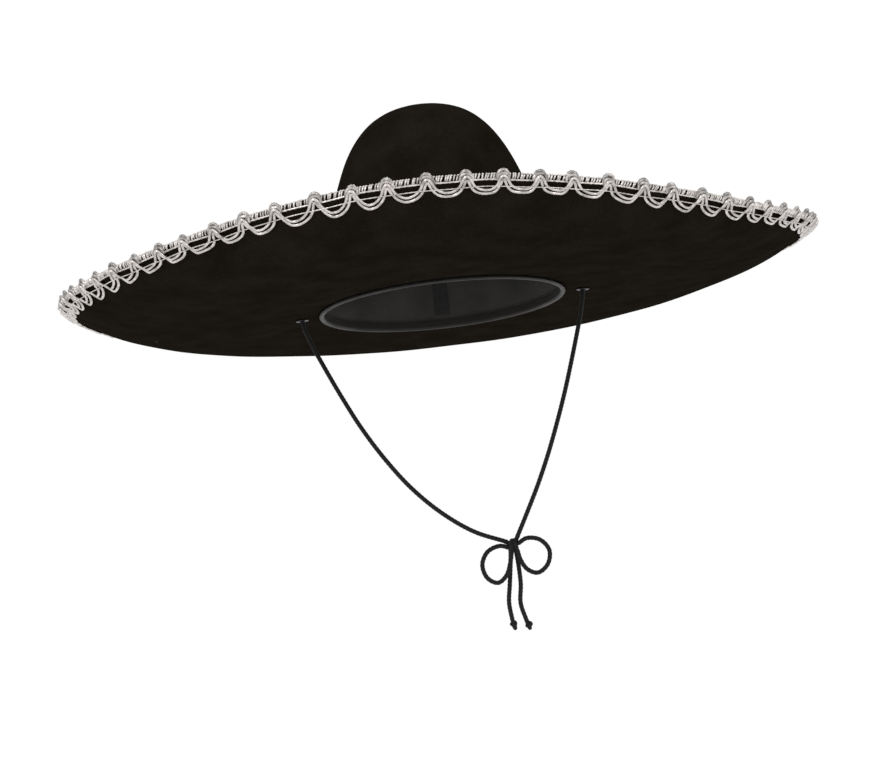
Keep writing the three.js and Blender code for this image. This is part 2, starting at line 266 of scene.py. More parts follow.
def on_brim(s, angle, lift):
    """A point of the felt stack, lifted square to the felt; lift is in vertical millimetres."""
    s, angle, lift = np.broadcast_arrays(s, angle, lift)
    normal, _, _ = brim_axes(s, angle)
    ripple = 0.35 * soft_noise(angle, s, 1) * np.clip(s * 4, 0, 1) * np.clip((1 - s) * 12, 0, 1)
    off = lift * pinch(s) * normal[..., 2] + ripple
    return brim_middle(s, angle) + normal * off[..., None]


def under_rim(depth, angle, stand):
    """A point under the rim: depth in from the felt edge, standing off the felt."""
    s = 1 - depth / BRIM_WIDTH
    normal, _, _ = brim_axes(s, angle)
    off = HALF_STACK * pinch(s) * normal[..., 2] + stand
    return brim_middle(s, angle) - normal * off[..., None], -normal


WALL_LEAN = 28 / (105 - CROWN_FOOT)


def wall_radius(inset, height):
    """Half the crown's width at a height, inset from the outside of its felt."""
    return CROWN_HALF_WIDTH - inset - WALL_LEAN * np.maximum(0, height - CROWN_FOOT)


def oval(radius, angle, height):
    """A point on the hat's oval, whose half width is radius."""
    radius, angle, height = np.broadcast_arrays(radius, angle, height)
    return np.stack([radius * np.cos(angle), OVAL * radius * np.sin(angle), height], -1)


def on_wall(height, angle, stand):
    """A point on the crown's wall near its foot, standing off the felt, and its normal."""
    point = oval(wall_radius(0, height), angle, height)
    flat = np.stack([OVAL * np.cos(angle), np.sin(angle), np.zeros_like(angle)], -1)
    normal = unit(flat / np.linalg.norm(flat, axis=-1, keepdims=True)
                  + np.array([0, 0, WALL_LEAN]))
    return point + normal * np.asarray(stand)[..., None], normal


# ---- Materials ----
def material(name):
    """A material with no nodes yet."""
    m = bpy.data.materials.new(name)
    m.use_nodes = True
    m.node_tree.nodes.clear()
    return m


class Nodes:
    """Short ways to add and join the nodes of one material."""

    def __init__(self, m):
        self.tree = m.node_tree
        self.shader = self.add("ShaderNodeBsdfPrincipled")
        output = self.add("ShaderNodeOutputMaterial")
        self.join(self.shader, "BSDF", output, "Surface")
        self.place = self.add("ShaderNodeTexCoord")

    def add(self, kind, **inputs):
        node = self.tree.nodes.new(kind)
        for name, value in inputs.items():
            node.inputs[name.replace("_", " ")].default_value = value
        return node

    def join(self, a, out, b, into):
        self.tree.links.new(a.outputs[out], b.inputs[into])

    def noise(self, scale, detail=3.0, roughness=0.55, stretch=None):
        node = self.add("ShaderNodeTexNoise", Scale=scale, Detail=detail, Roughness=roughness)
        if stretch:
            mapping = self.add("ShaderNodeMapping")
            mapping.inputs["Scale"].default_value = stretch
            self.join(self.place, "Object", mapping, "Vector")
            self.join(mapping, "Vector", node, "Vector")
        else:
            self.join(self.place, "Object", node, "Vector")
        return node

    def ramp(self, source, out, stops):
        node = self.add("ShaderNodeValToRGB")
        elements = node.color_ramp.elements
        while len(elements) < len(stops):
            elements.new(0.5)
        for element, (position, color) in zip(elements, stops):
            element.position = position
            element.color = (*color, 1)
        self.join(source, out, node, "Fac")
        return node

    def drive(self, into, source, *stops):
        """Sets one of the shader's inputs from a noise, by (noise, value) stops. A value is a
        colour or one number."""
        stops = [(at, value if isinstance(value, tuple) else (value,) * 3) for at, value in stops]
        self.join(self.ramp(source, "Fac", stops), "Color", self.shader, into)

    def mix(self, factor, a, b, blend="MIX"):
        """Mixes two colours; each of the three is an output socket or a plain value."""
        node = self.add("ShaderNodeMix")
        node.data_type, node.blend_type = "RGBA", blend
        for socket, value in ((node.inputs[0], factor), (node.inputs[6], a), (node.inputs[7], b)):
            if isinstance(value, bpy.types.NodeSocket):
                self.tree.links.new(value, socket)
            else:
                socket.default_value = value
        return node.outputs[2]

    def bump(self, source, out, strength, distance, onto=None):
        node = self.add("ShaderNodeBump", Strength=strength, Distance=distance)
        self.join(source, out, node, "Height")
        if onto:
            self.join(onto, "Normal", node, "Normal")
        self.join(node, "Normal", self.shader, "Normal")
        return node

    def set(self, **values):
        """Plain values of the shader's inputs."""
        for name, value in values.items():
            self.shader.inputs[name.replace("_", " ")].default_value = value


def felt_material():
    """Matted short wool: soft mottling, fibre grain, and a few pale specks of lint."""
    m = material("black_felt")
    n = Nodes(m)
    mottle = n.noise(38, 4, 0.6)
    base = n.ramp(mottle, "Fac", [(0.35, (0.0090, 0.0073, 0.0054)),
                                  (0.68, (0.0142, 0.0116, 0.0087))])
    fibre = n.noise(1500, 5, 0.7, stretch=(1, 1, 1.6))
    shade = n.ramp(fibre, "Fac", [(0.35, (0.55, 0.55, 0.55)), (0.7, (1.5, 1.48, 1.42))])
    colour = n.mix(1, base.outputs["Color"], shade.outputs["Color"], "MULTIPLY")
    lint = n.add("ShaderNodeTexVoronoi", Scale=19.0)
    n.join(n.place, "Object", lint, "Vector")
    speck = n.ramp(lint, "Distance", [(0.012, (1, 1, 1)), (0.02, (0, 0, 0))])
    dusty = n.mix(speck.outputs["Color"], colour, (0.16, 0.14, 0.12, 1))
    n.tree.links.new(dusty, n.shader.inputs["Base Color"])
    n.set(Roughness=1.0, Specular_IOR_Level=0.0, Sheen_Weight=0.004,
          Sheen_Roughness=0.5, Sheen_Tint=(0.62, 0.56, 0.5, 1))
    soft = n.bump(n.noise(240, 3, 0.5), "Fac", 0.25, 0.0006)
    n.bump(fibre, "Fac", 0.45, 0.0003, onto=soft)
    return m


def silver_material(name, shades, gloss, bump):
    """Foil-wrapped thread. shades are its greys from tarnished to bright, and gloss its lowest and
    highest roughness."""
    m = material(name)
    n = Nodes(m)
    dull, mid, bright = ((grey, 0.94 * grey, 0.9 * grey) for grey in shades)
    n.drive("Base Color", n.noise(210, 4, 0.65), (0.3, dull), (0.5, mid), (0.72, bright))
    n.drive("Roughness", n.noise(700, 2, 0.5), (0.35, gloss[0]), (0.7, gloss[1]))
    n.set(Metallic=0.95)
    n.bump(n.noise(1600, 2, 0.6), "Fac", bump, 0.0002)
    return m


def satin_material():
    """Black satin: fine weave over slow creases."""
    m = material("black_satin")
    n = Nodes(m)
    n.drive("Base Color", n.noise(60, 3, 0.5),
            (0.3, (0.006, 0.0056, 0.0056)), (0.75, (0.012, 0.0112, 0.0112)))
    n.set(Roughness=0.42, Specular_IOR_Level=0.28, Sheen_Weight=0.02)
    weave = n.noise(900, 2, 0.5, stretch=(1, 1, 5))
    creases = n.bump(n.noise(45, 2, 0.5, stretch=(1, 1, 0.25)), "Fac", 0.4, 0.003)
    n.bump(weave, "Fac", 0.25, 0.0002, onto=creases)
    return m


def ribbon_material():
    """Dull black ribbon silk."""
    m = material("black_grosgrain")
    n = Nodes(m)
    n.drive("Base Color", n.noise(500, 3, 0.6),
            (0.3, (0.007, 0.0068, 0.0068)), (0.7, (0.014, 0.0135, 0.013)))
    n.set(Roughness=0.65, Specular_IOR_Level=0.18, Sheen_Weight=0.03)
    n.bump(n.noise(1800, 3, 0.6, stretch=(1, 1, 3)), "Fac", 0.35, 0.0002)
    return m


def leatherette_material():
    """Grained black plastic leather, smoother where it is worn."""
    m = material("black_leatherette")
    n = Nodes(m)
    worn = n.noise(30, 4, 0.6)
    n.drive("Base Color", worn, (0.3, (0.007, 0.006, 0.005)), (0.75, (0.014, 0.0115, 0.0095)))
    n.drive("Roughness", worn, (0.3, 0.62), (0.75, 0.42))
    n.set(Specular_IOR_Level=0.3)
    grain = n.add("ShaderNodeTexVoronoi", Scale=850.0)
    n.join(n.place, "Object", grain, "Vector")
    n.bump(grain, "Distance", 0.35, 0.0003)
    return m


def lace_material():
    """Plaited black cotton lace."""
    m = material("black_lace")
    n = Nodes(m)
    n.drive("Base Color", n.noise(1300, 4, 0.7),
            (0.3, (0.0042, 0.004, 0.0039)), (0.72, (0.013, 0.0122, 0.0115)))
    n.set(Roughness=0.78, Specular_IOR_Level=0.25, Sheen_Weight=0.06, Sheen_Roughness=0.4)
    n.bump(n.noise(2600, 3, 0.6), "Fac", 0.4, 0.00015)
    return m


def enamel_material():
    """Black enamel over metal, rubbed through in places."""
    m = material("black_enamel")
    n = Nodes(m)
    wear = n.noise(420, 4, 0.6)
    n.drive("Base Color", wear, (0.62, (0.014, 0.014, 0.015)), (0.74, (0.22, 0.2, 0.17)))
    n.drive("Roughness", wear, (0.4, 0.28), (0.75, 0.5))
    n.set(Metallic=0.85)
    return m


def plain_material(name, dark, light, scale, roughness, metallic=0.0, bump=0.2):
    """Board, wire and reed, which sit inside the brim and the sweatband."""
    m = material(name)
    n = Nodes(m)
    grain = n.noise(scale, 5, 0.65)
    n.drive("Base Color", grain, (0.3, dark), (0.7, light))
    n.set(Roughness=roughness, Metallic=metallic)
    n.bump(grain, "Fac", bump, 0.0002)
    return m


FELT = felt_material()
SILVER = silver_material("silver_gimp", (0.34, 0.64, 0.88), (0.16, 0.36), 0.22)
KNOTTED_SILVER = silver_material("knotted_silver", (0.16, 0.42, 0.86), (0.2, 0.5), 0.9)
SATIN = satin_material()
RIBBON = ribbon_material()
LEATHERETTE = leatherette_material()
LACE = lace_material()
ENAMEL = enamel_material()
BOARD = plain_material("raw_board", (0.11, 0.085, 0.055), (0.21, 0.17, 0.12), 300, 0.9)
WIRE = plain_material("drawn_wire", (0.35, 0.35, 0.37), (0.6, 0.6, 0.62), 900, 0.35, 1.0)
REED = plain_material("black_reed", (0.015, 0.015, 0.017), (0.03, 0.03, 0.032), 400, 0.5)


def finish_piece(piece, slot, *nodes):
    """Hides the nodes that a piece replaces. Its slot is not used."""
    if nodes:
        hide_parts(*nodes)
    return piece


# ---- Camera ----
CAMERA_DISTANCE = 2.0
CAMERA_BELOW = math.radians(7.5)  # it looks up at the brim's underside
CAMERA_ROLL = math.radians(-6.49)  # the hat is worn with its left side a little higher
CAMERA_LENS = 117.1
CAMERA_AIM = (-0.0052, -0.0587)  # right and up from the origin, across the view


def make_camera():
    """Two metres in front of the hat and a little below it."""
    into = Vector((0, math.cos(CAMERA_BELOW), math.sin(CAMERA_BELOW)))
    level_up = Vector((0, -math.sin(CAMERA_BELOW), math.cos(CAMERA_BELOW)))
    level_right = Vector((1, 0, 0))
    right = math.cos(CAMERA_ROLL) * level_right + math.sin(CAMERA_ROLL) * level_up
    up = math.cos(CAMERA_ROLL) * level_up - math.sin(CAMERA_ROLL) * level_right
    data = bpy.data.cameras.new("camera")
    data.lens, data.sensor_width = CAMERA_LENS, 36
    camera = bpy.data.objects.new("camera", data)
    place = right * CAMERA_AIM[0] + up * CAMERA_AIM[1] - into * CAMERA_DISTANCE
    axes = Matrix((right, up, -into)).transposed()
    camera.matrix_world = Matrix.Translation(place) @ axes.to_4x4()
    bpy.context.scene.collection.objects.link(camera)
    bpy.context.scene.camera = camera


make_camera()


# ---- Chin cord ----
# Each piece of lace, from its upper end. The two strands hang from the eyelets to the bow.
CORD_ROUTES = {
    "chin_cord_left": [
        [-98.7, 0, -10.8], [-94, 0, -24], [-88.6, 0, -37], [-78, 0, -61], [-66, 0, -85.5],
        [-52, 0, -109], [-36, 0, -131], [-17, 0, -150.5], [4, 0, -166], [25.6, 0, -175.6],
    ],
    "chin_cord_right": [
        [98.7, 0, -10.8], [96, 0, -22], [92.3, 0, -34], [85.5, 0, -55], [78.3, 0, -76],
        [70.3, 0, -97], [61.6, 0, -118], [52, 0, -138.5], [42, 0, -157.5], [33.2, 0, -173.6],
    ],
    "bow_loop_left": [
        [26, -1.2, -179.4], [20, -2.6, -178.2], [11.5, -3.4, -181.5], [7, -3.4, -190],
        [9.5, -3, -199.5], [16.5, -2.4, -203.6], [23, -1.8, -199], [26.6, -1.6, -190.5],
        [28.4, -1.4, -183.4],
    ],
    "bow_loop_right": [
        [34.2, -1, -177.4], [40, -2.4, -174.8], [49, -3.2, -177], [54.6, -3.2, -185],
        [52.4, -3, -194.5], [45, -2.4, -199.6], [38, -2, -196.5], [34, -1.8, -189.5],
        [32.6, -1.2, -182.8],
    ],
    "bow_tail_left": [
        [27.8, 2.4, -182.8], [26.6, 3.2, -192], [24.6, 3, -205], [22.6, 3, -218], [23.6, 3, -231],
    ],
    "bow_tail_right": [
        [31.6, 2.4, -182.8], [32.2, 3.4, -193], [32.2, 3.4, -206], [30.6, 3, -219], [33.4, 3, -232],
    ],
}
LACE_PLAIT = (4, 5.2, -0.10)
KNOT_PLAIT = (4, 5.2, -0.08)  # pulled tight, so it stands out less
BOW_MIDDLE = np.array([30, 0, -178.6])


def lace_tube(shape, path):
    """Plaited lace along a path that mostly lies in the XZ plane."""
    sideways = np.tile([0.0, 1.0, 0.0], (len(path), 1))
    return tube(shape, path, sideways, CORD_RADIUS, 16, ridges=LACE_PLAIT)


def knot_path(middle, size, turn, count=72):
    """A trefoil, the closed form of an overhand knot."""
    t = TAU * np.arange(count) / count
    x = np.sin(t) + 2 * np.sin(2 * t)
    y = np.cos(t) - 2 * np.cos(2 * t)
    z = -np.sin(3 * t)
    points = np.stack([x, y, 1.3 * z], -1) * size / 3
    rotation = np.array(Matrix.Rotation(math.radians(turn[0]), 3, "X")
                        @ Matrix.Rotation(math.radians(turn[1]), 3, "Z"))
    return points @ rotation.T + np.array(middle)


def knotted_lace(shape, middle, size, turn):
    """An overhand knot, pulled tight."""
    path = knot_path(middle, size, turn)
    normals = unit(path - np.array(middle) + np.array([0.01, 0.02, 0.03]))
    tube(shape, path, normals, CORD_RADIUS * 0.92, 12, closed=True, ridges=KNOT_PLAIT)


def make_bow_knot():
    """Two turns of lace round the neck of the bow, and the lengths that pass through them."""
    shape = Shape()
    t = TAU * np.arange(48) / 48
    for shift, tilt in ((-1.5, 14), (1.4, -10)):
        loop = np.stack([0.3 * np.sin(2 * t), 3.1 * np.cos(t), 3.5 * np.sin(t)], -1)
        spin = np.array(Matrix.Rotation(math.radians(tilt), 3, "Y"))
        path = loop @ spin.T + BOW_MIDDLE + np.array([shift, 0, 0])
        tube(shape, path, unit(path - BOW_MIDDLE - np.array([shift, 0, 0])), CORD_RADIUS, 12,
             closed=True, ridges=KNOT_PLAIT)
    for points in (
        [[24.6, 0, -175.3], [28, 0.6, -177.4], [32.6, -1.2, -183.2]],
        [[34, 0, -172.4], [31, 0.6, -177.4], [28.2, -1.4, -183.8]],
        [[25.4, -1.4, -179.6], [29.4, 1, -179.4], [31.8, 2.6, -183.6]],
        [[35, -1.2, -177], [31, 1.2, -178.6], [27.6, 2.6, -183.6]],
    ):
        lace_tube(shape, curve_through(points, 0.5))
    return finish_piece(shape.build("bow_centre", LACE, "chin_cord"), "lace", "bow_knot")


def make_tail_knot(side, middle):
    """A small knot at a tail's end, and the stub of lace past it."""
    shape = Shape()
    knotted_lace(shape, middle, 1.5, (70, 20 if side == "left" else -35))
    x, y, z = middle
    stub = [[x, y, z + 1], [x + 0.1, y, z - 1], [x + 0.6, y, z - 2.8]]
    lace_tube(shape, curve_through(stub, 0.5))
    name = f"tail_end_{side}"
    return finish_piece(shape.build(name, LACE, "chin_cord"), "lace", f"tail_knot_{side}")


def make_chin_cord():
    """The bow, the tails' knots and the six lengths of lace."""
    bow = make_bow_knot()
    knots = {
        "bow_tail_left": make_tail_knot("left", (24.2, 3, -233.2)),
        "bow_tail_right": make_tail_knot("right", (34.4, 3, -234.2)),
    }
    for node, points in CORD_ROUTES.items():
        path = curve_through(points, 0.45)
        piece = lace_tube(Shape(), path).build(node + "_lace", LACE, "chin_cord")
        finish_piece(piece, "lace", node)


make_chin_cord()


# ---- Eyelets and stop knots ----
def eyelet_frame(side):
    """An eyelet's middle, and the brim's axes there."""
    node = "eyelet_" + side
    low, high = box_mm(node)
    middle = (low + high) / 2
    s = (abs(middle[0]) - OPENING_HALF_WIDTH) / BRIM_WIDTH
    angle = 0.0 if side == "right" else math.pi
    normal, outwards, along = brim_axes(np.array(s), np.array(angle))
    return middle, normal, outwards, along


EYELET_BORE, EYELET_NECK, EYELET_RIM = 2.1, 2.8, 4.6  # radii
EYELET_HOLE = 2.95  # in the felt and the board
EYELET_GRIP = 3.1  # from the middle of the brim to the roots of the flanges


def make_eyelet(side):
    """A rolled eyelet with a domed flange on each face of the brim."""
    middle, normal, outwards, along = eyelet_frame(side)
    bend = np.radians(np.linspace(-90, 90, 7))
    crest, reach = (EYELET_BORE + EYELET_RIM) / 2, (EYELET_RIM - EYELET_BORE) / 2
    lower = [(crest + reach * math.sin(a), -EYELET_GRIP - 0.65 * math.cos(a)) for a in bend]
    upper = [(crest - reach * math.sin(a), EYELET_GRIP + 0.65 * math.cos(a)) for a in bend]
    profile = lower + [(EYELET_NECK, -2.6), (EYELET_NECK, 2.6)] + upper
    shape = Shape()
    revolve(shape, profile, 40, lambda r, a, h: (
        middle + (r * np.cos(a))[..., None] * outwards + (r * np.sin(a))[..., None] * along
        + (h + 0 * a)[..., None] * normal))
    finish_piece(shape.build("rolled_eyelet_" + side, ENAMEL), "eyelet", "eyelet_" + side)


def make_stop_knot(side):
    """The lace comes up through the eyelet into a knot that can't pass back, and a loose end."""
    middle, normal, outwards, along = eyelet_frame(side)
    shape = Shape()
    pivot = np.array(CORD_ROUTES["chin_cord_" + side][0], float)
    top = middle + normal * 6.2
    shank = curve_through([pivot, middle - normal * 3, middle + normal * 3, top], 0.5)
    lace_tube(shape, shank)
    knotted_lace(shape, middle + normal * 6.6, 3.4, (0, 25))
    stub = [top, top + normal * 2 + outwards, top + normal * 2.6 + outwards * 4 + along * 3,
            top + normal * 0.6 + outwards * 6.4 + along * 5]
    lace_tube(shape, curve_through(stub, 0.5))
    finish_piece(shape.build("stop_knot_" + side, LACE), "lace", "cord_stop_knot_" + side)


for side in ("left", "right"):
    make_eyelet(side)
    make_stop_knot(side)


# ---- Felt and board ----
def sheet_profile(low, high, edge, steps):
    """A closed profile of a sheet from the opening to s = edge, with rounded edges."""
    s = (1 - (1 - np.linspace(0, 1, steps)) ** 1.6) * edge
    middle, half = (low + high) / 2, (high - low) / 2
    turn = np.radians(np.linspace(-90, 90, 7))
    reach = half / BRIM_WIDTH
    outer = [(edge + reach * (math.cos(a) - 1), middle + half * math.sin(a)) for a in turn]
    inner = [(reach * (1 - math.cos(a)), middle - half * math.sin(a)) for a in turn]
    lower = [(x, low) for x in s[1:-1]]
    upper = [(x, high) for x in s[::-1][1:-1]]
    return lower + outer + upper + inner


def punch_eyelets(piece):
    """Cuts the two eyelet holes."""
    for side in ("left", "right"):
        middle, normal, _, _ = eyelet_frame(side)
        bpy.ops.mesh.primitive_cylinder_add(vertices=32, radius=EYELET_HOLE * MM, depth=14 * MM,
                                            location=middle * MM)
        tool = bpy.context.object
        tool.rotation_mode = "QUATERNION"
        tool.rotation_quaternion = Vector((0, 0, 1)).rotation_difference(Vector(normal))
        cut = piece.modifiers.new("eyelet_hole", "BOOLEAN")
        cut.object, cut.operation, cut.solver = tool, "DIFFERENCE", "EXACT"
        bpy.context.view_layer.update()
        evaluated = piece.evaluated_get(bpy.context.evaluated_depsgraph_get())
        mesh = bpy.data.meshes.new_from_object(evaluated)
        piece.modifiers.clear()
        piece.data = mesh
        bpy.data.objects.remove(tool)


def make_brim():
    """Board between two felts: each row has its faces, where it ends, its look and its mesh."""
    board_edge = 1 - BOARD_INSET / BRIM_WIDTH
    layers = (
        ("brim_felt_upper", "brim_upper_felt", 1.3, HALF_STACK, 1.0, FELT, "felt", 46, 560),
        ("brim_felt_under", "brim_under_felt", -HALF_STACK, -1.3, 1.0, FELT, "felt", 46, 560),
        ("brim_stiffener", "brim_board", -1.0, 1.0, board_edge, BOARD, "board", 24, 280),
    )
    for name, node, low, high, edge, look, slot, steps, columns in layers:
        shape = revolve(Shape(), sheet_profile(low, high, edge, steps), columns, on_brim)
        piece = shape.build(name, look)
        punch_eyelets(piece)
        finish_piece(piece, slot, node)


def make_wire():
    """The brim's wire, open where the ferrule joins its ends, and the ferrule."""
    angle = TAU * np.arange(560) / 560
    s = np.full_like(angle, 1 - WIRE_INSET / BRIM_WIDTH)
    low, high = box_mm("wire_ferrule")
    joint = math.atan2((low + high)[1], (low + high)[0])
    path = brim_middle(s, angle)
    start = int(np.argmin(np.abs((angle - joint + math.pi) % TAU - math.pi)))
    path = np.roll(path, -start - 1, 0)[:-1]
    normals = np.roll(brim_axes(s, angle)[0], -start - 1, 0)[:-1]
    shape = tube(Shape(), path, normals, 0.4, 8)
    finish_piece(shape.build("rim_wire", WIRE), "wire", "brim_wire")
    near = np.linspace(-0.03, 0.03, 9) + joint
    sleeve = brim_middle(np.full(9, s[0]), near)
    collar = tube(Shape(), sleeve, brim_axes(np.full(9, s[0]), near)[0], 0.7, 12)
    finish_piece(collar.build("rim_wire_ferrule", WIRE), "wire", "wire_ferrule")


def crown_curve(inset, count=64):
    """The crown's outline at an inset from the outside of its felt."""
    p = np.array([
        [CROWN_HALF_WIDTH - inset, CROWN_FOOT],
        [CROWN_HALF_WIDTH - 28 - inset, 105],
        [CROWN_HALF_WIDTH - 37 - inset / 2, CROWN_TOP - inset],
        [0.02, CROWN_TOP - inset],
    ])
    t = np.linspace(0, 1, count)[:, None]
    return ((1 - t) ** 3 * p[0] + 3 * (1 - t) ** 2 * t * p[1]
            + 3 * (1 - t) * t ** 2 * p[2] + t ** 3 * p[3])


def on_crown(radius, angle, height):
    """The crown's oval, with the slight unevenness of blocked felt."""
    up = (height - CROWN_FOOT) / (CROWN_TOP - CROWN_FOOT)
    fade = np.clip(up * 4, 0, 1) * np.clip(radius / 25, 0, 1)
    swell = 1 + 0.0055 * soft_noise(angle, up, 3) * fade
    return oval(radius * swell, angle, height + 0 * angle)


def make_crown():
    """Blocked felt, 2 mm thick and open at its foot."""
    outside, inside = crown_curve(0), crown_curve(2)
    shape = revolve(Shape(), np.concatenate([outside, inside[::-1]]), 288, on_crown)
    finish_piece(shape.build("crown_felt_body", FELT), "felt", "crown_felt")


def make_lining():
    """Six gores of satin with their seams drawn in, over a plain band."""
    outside, inside = crown_curve(3.9, 40), crown_curve(4.4, 40)

    def place(radius, angle, height):
        up = np.clip((height - 34) / 20, 0, 1)
        near = np.abs((angle * 6 / TAU + 0.5) % 1 - 0.5)
        seam = np.exp(-((near / 0.018) ** 2))
        pucker = np.exp(-((near / 0.12) ** 2)) * np.sin(height * 0.9 + 3 * np.sin(angle * 6))
        pull = 1 - up * (0.012 * seam + 0.0035 * pucker)
        return oval(radius * pull, angle, height + 0 * angle)

    shape = revolve(Shape(), np.concatenate([outside, inside[::-1]]), 432, place)
    finish_piece(shape.build("satin_lining", SATIN), "lining", "crown_lining")


# ---- Hat band ----
def make_hat_band():
    """Grosgrain ribbon: fine ribs across it, and a woven edge along each side."""
    low, high = 2.2, 28.0
    heights = np.concatenate([np.linspace(low, low + 1.2, 4), np.linspace(low + 1.6, high - 1.6, 8),
                              np.linspace(high - 1.2, high, 4)])
    profile = [(-1.1, h) for h in heights] + [(-0.3, h) for h in heights[::-1]]
    ribs = 620

    def place(inset, angle, height):
        middle = (height > low + 1.3) & (height < high - 1.3) & (inset < -0.7)
        rib = 0.16 * np.cos(ribs * angle) * middle
        selvedge = 0.15 * ((height <= low + 1.3) | (height >= high - 1.3)) * (inset < -0.7)
        return oval(wall_radius(inset - rib - selvedge, height), angle, height)

    shape = revolve(Shape(), profile, 2 * ribs, place)
    finish_piece(shape.build("grosgrain_band", RIBBON), "ribbon", "hat_band")


# ---- Scroll braid ----
rng = np.random.default_rng(7)


def uneven(turns, count, size, seed):
    """Hand-sewn unevenness along a braid of count scallops, closing on itself."""
    t = TAU * turns / count
    return size * (0.5 * np.sin(3 * t + seed) + 0.3 * np.sin(8 * t + 2.3 * seed)
                   + 0.35 * np.sin(17 * t + 0.7 * seed))


RIM_STRAY = 0.035 * rng.standard_normal(RIM_SCALLOPS)


def rim_angle(turns):
    """Sewn by hand, the scallops crowd and spread a little, and each one strays."""
    t = TAU * (turns + RIM_PHASE) / RIM_SCALLOPS
    crowd = (0.07 * np.sin(3 * t + 0.38) + 0.044 * np.sin(8 * t + 1.31)
             + 0.017 * np.sin(17 * t + 0.47))
    stray = np.interp(turns % RIM_SCALLOPS, np.arange(RIM_SCALLOPS + 1),
                      np.append(RIM_STRAY, RIM_STRAY[0]))
    return t + TAU / RIM_SCALLOPS * (crowd + stray)


RIM_DEEPEST = math.radians(258)  # a place where the scallops hang lowest, one of seven
RIM_SWELL = 0.13  # how much of their depth comes and goes


ROUNDING = 0.018  # makes the flanks steeper, so that crests and valleys stay round


def valley_share(turns):
    """0 at a crest of the scallops, 1 in the middle of a valley."""
    return (1 - np.cos(TAU * turns)) / 2


def scallop_line(turns, count, crest, valley, squeeze):
    """Depth of a scalloped cord, and its place along the braid in scallops. The crests are
    narrow arches and the valleys wide ones."""
    swing = 1 + uneven(turns, count, 0.05, 2.0)
    deep = crest + (valley - crest) * swing * valley_share(turns)
    drawn = squeeze * np.sin(TAU * turns) - ROUNDING * np.sin(2 * TAU * turns)
    return deep, turns - drawn


# The outer and the inner cord: depth at the crests and in the valleys, and how far the cord is
# drawn in towards its crests.
SCALLOP_CORDS = ((0.9, 10.5, 0.125), (-0.9, 8.1, 0.075))


def cord_pair(count, steps=56):
    """The two cords of the scallops, each as (depth, turns)."""
    turns = np.arange(count * steps) / steps
    return [scallop_line(turns, count, *cord) for cord in SCALLOP_CORDS]


def gimp_stand(depth):
    """How far the gimp's middle stands off what it is sewn to."""
    return GIMP_RADIUS + CREST_LIFT * (1 - smooth(depth, 3.0, 5.5))


def make_rim_scallops():
    """The scallops hang under the rim. Their valleys are drawn from the front of the hat towards
    its sides, and hang straight at the back."""
    shape = Shape()
    for depth, turns in cord_pair(RIM_SCALLOPS):
        stand = gimp_stand(depth)
        wave = valley_share(turns)
        around = rim_angle(turns)
        lean = RIM_LEAN * np.cos(around) * np.clip(0.75 * (1 - np.sin(around)), 0, 1)
        angle = rim_angle(turns + lean * wave)
        depth = depth * (1 + RIM_SWELL * np.cos(7 * (angle - RIM_DEEPEST)) * wave)
        points, normals = under_rim(depth, angle, stand)
        tube(shape, points, normals, GIMP_RADIUS, 10, closed=True, ridges=GIMP_RIDGES)
    finish_piece(shape.build("rim_scallops", SILVER), "silver_braid", "scallop_braid")


def make_rim_threads():
    """The two straight threads: each row has its depth, stand off the felt, and radius."""
    for name, node, depth, stand, radius in (
        ("rim_heading_thread", "heading_thread", 1.7, 1.0, 0.62),
        ("rim_cross_thread", "cross_thread", 4.9, 2.0, 0.4),
    ):
        angle = TAU * np.arange(2400) / 2400
        wander = depth + 0.22 * np.sin(23 * angle) + 0.15 * np.sin(41 * angle + 1)
        points, normals = under_rim(wander, angle, np.full_like(angle, stand))
        shape = tube(Shape(), points, normals, radius, 8, closed=True, ridges=THREAD_RIDGES)
        finish_piece(shape.build(name, SILVER), "silver_braid", node)


# The path of one wrap round the edge: distance in from the felt edge, and height as a share
# of the half thickness that the wrap stands at.
WRAP_PATH = np.array([
    [1.7, -0.98], [1.1, -1], [0.5, -0.96], [0.0, -0.8], [-0.35, -0.45], [-0.45, 0],
    [-0.35, 0.45], [0.0, 0.8], [0.5, 0.96], [1.3, 1], [2.2, 1], [2.7, 0.96],
])


def make_edge_ladder():
    """Foil wraps round the felt edge, each slanting the same way and a little uneven."""
    shape = Shape()
    count = round(TAU * RIM_RADIUS / LADDER_PITCH)
    share = np.linspace(-0.5, 0.5, len(WRAP_PATH))
    for k in range(count):
        slant = WRAP_SLANT + 0.4 * rng.standard_normal()
        middle = TAU * (k + 0.17 * rng.standard_normal()) / count
        angle = middle + share * slant / RIM_RADIUS
        s = np.ones(len(WRAP_PATH))
        normal, outwards, _ = brim_axes(s, angle)
        half = HALF_STACK * PINCH * normal[:, 2:] + 0.3 + 0.12 * rng.standard_normal()
        inwards, up = WRAP_PATH[:, :1], WRAP_PATH[:, 1:]
        path = brim_middle(s, angle) - outwards * inwards + normal * half * up
        away = unit(normal * up + outwards * (1 - np.abs(up)) + 1e-3)
        radius = EDGE_WRAP_RADIUS + 0.07 * rng.standard_normal()
        tube(shape, path, away, radius, 7, ridges=(2, 1.7, 0.1))
    finish_piece(shape.build("rim_wraps", SILVER), "silver_braid", "edge_ladder")


# The arches of one picot: half width, reach past the felt edge, heights at its feet and its
# top (square to the felt), and cord radius.
PICOT_ARCHES = (
    (3.7, 1.9, -2.6, -1.3, 1.15),
    (3.3, 2.9, -1.6, 0.9, 1.1),
    (1.8, 1.5, -2.2, -0.3, 1.0),
)
PICOT_FEET = 1.8  # how far in from the felt edge the arches start


